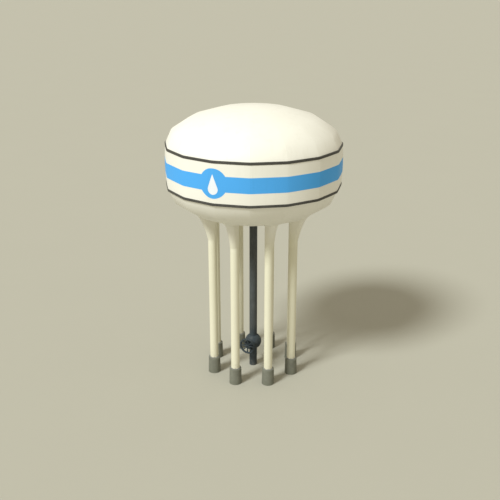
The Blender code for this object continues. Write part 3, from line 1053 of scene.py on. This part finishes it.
class WATER_TOWER_OT_valve(bpy.types.Operator):
    """Round valve body, bonnet, packing gland and their bolts"""
    bl_idname = "water_tower.valve"
    bl_label = "Valve"

    def execute(self, context):
        valve = settings().valve
        half = (VALVE_HIGH.z - VALVE_LOW.z) / 2
        start = math.acos(half / VALVE_RADIUS)
        section = [(0.0, VALVE_Z + half)]
        rows = 36
        for row in range(rows + 1):
            turn = start + (math.pi - 2 * start) * row / rows
            section.append((VALVE_RADIUS * math.sin(turn), VALVE_Z + VALVE_RADIUS * math.cos(turn)))
        section.append((0.0, VALVE_Z - half))
        bm = spun(section, valve.sides, closed=False)
        publish("valve_ball", bm, "slate", ["valve_body"], sharp=60)

        bore = STEM_RADIUS + 0.002
        flange_back = BONNET_FRONT - valve.flange
        section = [(0.0, VALVE_RADIUS - 0.12), (valve.neck, VALVE_RADIUS - 0.12),
                   (valve.neck, flange_back - 0.012), (valve.neck + 0.004, flange_back - 0.004),
                   (valve.neck + 0.012, flange_back), (BONNET_FLANGE - 0.003, flange_back),
                   (BONNET_FLANGE, flange_back + 0.003), (BONNET_FLANGE, BONNET_FRONT - 0.003),
                   (BONNET_FLANGE - 0.003, BONNET_FRONT), (bore, BONNET_FRONT),
                   (bore, BONNET_FRONT - 0.03), (0.0, BONNET_FRONT - 0.03)]
        bm = spun(section, valve.sides, closed=False)
        ring = (valve.neck + BONNET_FLANGE) / 2
        for bolt in range(valve.flange_bolts):
            turn = math.tau * (bolt + 0.5) / valve.flange_bolts
            x, y = ring * math.cos(turn), ring * math.sin(turn)
            add_bar(bm, (x, y, BONNET_FRONT), (x, y, BONNET_FRONT + 0.016), 0.019, 6, edge=0.002)
            add_bar(bm, (x, y, BONNET_FRONT + 0.016), (x, y, BONNET_FRONT + 0.026), 0.009, 12)
            add_bar(bm, (x, y, flange_back - 0.014), (x, y, flange_back), 0.019, 6, edge=0.002)
        publish("bonnet", face_front(bm), "slate", ["valve_bonnet"])

        nut_ring = (GLAND_RADIUS + bore) / 2 + 0.012
        section = [(bore, BONNET_FRONT + TOUCH), (GLAND_RADIUS, BONNET_FRONT + TOUCH),
                   (GLAND_RADIUS, GLAND_FRONT - 0.024), (GLAND_RADIUS - 0.004, GLAND_FRONT - 0.02),
                   (bore + 0.024, GLAND_FRONT - 0.018), (bore + 0.018, GLAND_FRONT - 0.002),
                   (bore + 0.014, GLAND_FRONT), (bore, GLAND_FRONT)]
        bm = spun(section, 48)
        back = GLAND_FRONT - 0.02
        for side in (-1, 1):
            x = side * nut_ring
            add_bar(bm, (x, 0, back), (x, 0, back + 0.013), 0.015, 6, edge=0.0015)
            add_bar(bm, (x, 0, back + 0.013), (x, 0, back + 0.019), 0.0075, 12)
        publish("gland", face_front(bm), "slate", ["packing_gland"])
        return {"FINISHED"}


class WATER_TOWER_OT_hand_wheel(bpy.types.Operator):
    """Hand wheel with tapered spokes, its nut and the valve's stem"""
    bl_idname = "water_tower.hand_wheel"
    bl_label = "Hand Wheel"

    def execute(self, context):
        valve = settings().valve
        rim_circle = WHEEL_OUTER - valve.rim
        section = []
        for step in range(24):
            turn = math.tau * step / 24
            section.append((rim_circle + valve.rim * math.cos(turn), WHEEL_PLANE + valve.rim * math.sin(turn)))
        bm = spun(section, 96)
        back, front = WHEEL_PLANE - HUB_HALF_LENGTH, WHEEL_PLANE + HUB_HALF_LENGTH
        hub = [(0.0, back), (valve.hub * 0.8, back), (valve.hub, back + 0.012), (valve.hub, front - 0.018),
               (valve.hub * 0.75, front), (0.0, front)]
        spun(hub, 48, closed=False, bm=bm)
        add_bar(bm, (0, 0, front - 0.002), (0, 0, front + 0.003), valve.hub * 0.55, 32)
        add_bar(bm, (0, 0, front + 0.003), (0, 0, front + 0.026), valve.hub * 0.45, 6, edge=0.003)
        add_bar(bm, (0, 0, front + 0.026), (0, 0, front + 0.038), STEM_RADIUS * 0.7, 24, edge=0.002)
        for spoke in range(valve.spokes):
            turn = math.tau * spoke / valve.spokes
            across = Vector((math.cos(turn), math.sin(turn), 0))
            level = Vector((0, 0, WHEEL_PLANE))
            inner, outer = across * valve.hub * 0.5 + level, across * rim_circle + level
            add_bar(bm, inner, outer, 0.042, 20, end_radius=0.034)
            add_bar(bm, across * (rim_circle - valve.rim * 1.5) + level, outer, 0.034, 20, end_radius=0.052)
        publish("wheel", face_front(bm), "slate", ["hand_wheel"], body="hand_wheel", sharp=40)

        bm = bmesh.new()
        stem_back = -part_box("valve_stem")[1].y
        add_bar(bm, (0, 0, stem_back), (0, 0, STEM_FRONT), STEM_RADIUS, 48)
        publish("stem", face_front(bm), "stem", ["valve_stem"], body="hand_wheel")
        return {"FINISHED"}


def direction(azimuth, elevation):
    """Unit vector towards an azimuth turned from the front, and up from the horizon."""
    flat = math.cos(elevation)
    return Vector((math.sin(azimuth) * flat, -math.cos(azimuth) * flat, math.sin(elevation)))


class WATER_TOWER_OT_stage(bpy.types.Operator):
    """Plain pale floor, soft light and the camera"""
    bl_idname = "water_tower.stage"
    bl_label = "Stage"

    def execute(self, context):
        stage = settings().stage
        scene = context.scene
        bm = bmesh.new()
        bmesh.ops.create_circle(bm, cap_ends=True, segments=96, radius=3000)
        mesh = bpy.data.meshes.new("floor")
        bm.to_mesh(mesh)
        bm.free()
        mesh.materials.append(material("floor"))
        floor = bpy.data.objects.new("floor", mesh)
        scene.collection.objects.link(floor)

        light = bpy.data.lights.new("key", "SUN")
        light.energy = stage.key_strength
        light.angle = stage.key_softness
        light.color = stage.key_colour
        lamp = bpy.data.objects.new("key", light)
        towards = direction(stage.azimuth - stage.key_left, stage.key_elevation)
        lamp.rotation_euler = towards.to_track_quat("Z", "Y").to_euler()
        scene.collection.objects.link(lamp)

        world = bpy.data.worlds.new("studio")
        world.use_nodes = True
        background = world.node_tree.nodes["Background"]
        background.inputs["Color"].default_value = (*stage.room, 1)
        background.inputs["Strength"].default_value = 1
        scene.world = world
        scene.view_settings.view_transform = "Standard"

        across = Vector((math.cos(stage.azimuth), math.sin(stage.azimuth), 0))
        back = direction(stage.azimuth, stage.elevation)
        target = across * stage.target_side + Vector((0, 0, stage.target_height))
        camera = bpy.data.cameras.new("camera")
        camera.sensor_width = 36
        camera.lens = stage.lens
        camera.clip_end = 5000
        eye = bpy.data.objects.new("camera", camera)
        eye.location = target + back * stage.distance
        eye.rotation_euler = (-back).to_track_quat("-Z", "Y").to_euler()
        scene.collection.objects.link(eye)
        scene.camera = eye
        return {"FINISHED"}


STEPS = (WATER_TOWER_OT_tank_shells, WATER_TOWER_OT_hoops, WATER_TOWER_OT_painted_band,
         WATER_TOWER_OT_legs, WATER_TOWER_OT_base_plates, WATER_TOWER_OT_footings,
         WATER_TOWER_OT_riser, WATER_TOWER_OT_valve, WATER_TOWER_OT_hand_wheel,
         WATER_TOWER_OT_stage)


class WATER_TOWER_PT_panel(bpy.types.Panel):
    """Lists the settings and the steps"""
    bl_idname = "WATER_TOWER_PT_panel"
    bl_label = "Water Tower"
    bl_space_type = "VIEW_3D"
    bl_region_type = "UI"
    bl_category = "Water Tower"

    def draw(self, context):
        layout = self.layout
        tower = settings()
        for name in ("tank", "paint", "support", "valve", "stage"):
            group = getattr(tower, name)
            box = layout.box()
            box.label(text=name.capitalize())
            for key in group.__annotations__:
                box.prop(group, key)
        for step in STEPS:
            layout.operator(step.bl_idname)


CLASSES = (TankSettings, PaintSettings, SupportSettings, ValveSettings, StageSettings,
           WaterTowerSettings, *STEPS, WATER_TOWER_PT_panel)


def register():
    for cls in CLASSES:
        bpy.utils.register_class(cls)
    bpy.types.Scene.water_tower = PointerProperty(name="Water Tower", type=WaterTowerSettings)


def unregister():
    del bpy.types.Scene.water_tower
    for cls in reversed(CLASSES):
        bpy.utils.unregister_class(cls)


def main():
    register()
    for step in STEPS:
        area, name = step.bl_idname.split(".")
        getattr(getattr(bpy.ops, area), name)()


if __name__ == "__main__":
    main()
